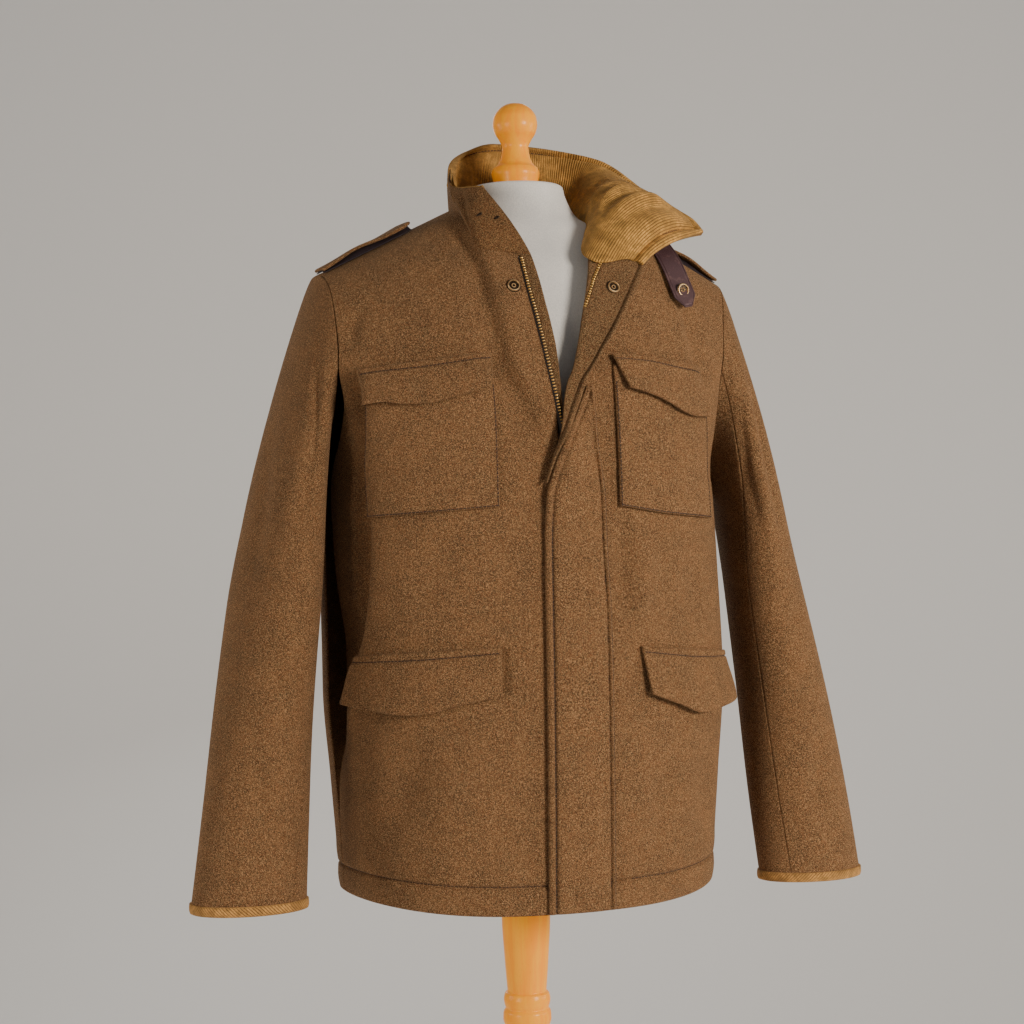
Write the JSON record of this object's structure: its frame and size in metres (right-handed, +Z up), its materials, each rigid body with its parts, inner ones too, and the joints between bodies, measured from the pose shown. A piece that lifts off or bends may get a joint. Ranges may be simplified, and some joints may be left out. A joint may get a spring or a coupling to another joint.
{
  "type": "overcoat on a dress form",
  "caption": "Hip-length wool coat in a field-jacket cut, open at the throat, worn by a limbless dress form on a turned wooden stand; the zip's pull tab swings",
  "frame": {"origin": "middle of the stand's underside, on the floor", "axes": "+Z up along the pole, -Y towards the coat's front, +X towards the wearer's left"},
  "size_m": [0.7164, 0.386, 1.591],
  "materials": {
    "melange_wool": "brown-olive melange melton, matt, slightly napped",
    "melange_wool_inner": "the same wool on the turned-back facing and the zip guard",
    "tan_corduroy": "tan needlecord, soft sheen along the wales",
    "plum_leather": "plum-brown smooth leather, satin",
    "dark_underlay": "dark close-woven underlay",
    "antique_brass": "antique brass, satin",
    "varnished_beech": "orange varnished beech, glossy",
    "form_jersey": "pale jersey cover, matt"
  },
  "bodies": {
    "coat_and_stand": {"back": "melange_wool", "chest_flap_left": "melange_wool", "chest_flap_right": "melange_wool", "chest_pocket_left": "melange_wool", "chest_pocket_right": "melange_wool", "collar_facing": "tan_corduroy", "collar_outer": "melange_wool", "cuff_binding_left": "tan_corduroy", "cuff_binding_right": "tan_corduroy", "fly_facing": "melange_wool_inner", "fly_outer": "melange_wool", "form_knob": "varnished_beech", "form_torso": "form_jersey", "front_left": "melange_wool", "front_right": "melange_wool", "hip_flap_left": "melange_wool", "hip_flap_right": "melange_wool", "shoulder_strap_left": "melange_wool", "shoulder_strap_right": "melange_wool", "sleeve_left_under": "melange_wool", "sleeve_left_upper": "melange_wool", "sleeve_right_under": "melange_wool", "sleeve_right_upper": "melange_wool", "snap_collar_1": "antique_brass", "snap_collar_2": "antique_brass", "snap_facing": "antique_brass", "snap_front": "antique_brass", "snap_throat_tab": "antique_brass", "stand_base": "varnished_beech", "stand_pole": "varnished_beech", "strap_underlay_left": "dark_underlay", "strap_underlay_right": "dark_underlay", "throat_tab": "plum_leather", "zip_chain_closed": "antique_brass", "zip_chain_left": "antique_brass", "zip_chain_right": "antique_brass", "zip_guard": "melange_wool_inner", "zip_slider": "antique_brass"},
    "pull_tab": {"zip_pull": "antique_brass"}
  },
  "joints": [
    {"name": "pull_tab_swing", "type": "hinge", "parent": "coat_and_stand", "child": "pull_tab", "pos_m": [-0.009, -0.15562, 1.2378], "axis": [-1, 0, 0], "range_deg": [0, 10]}
  ]
}
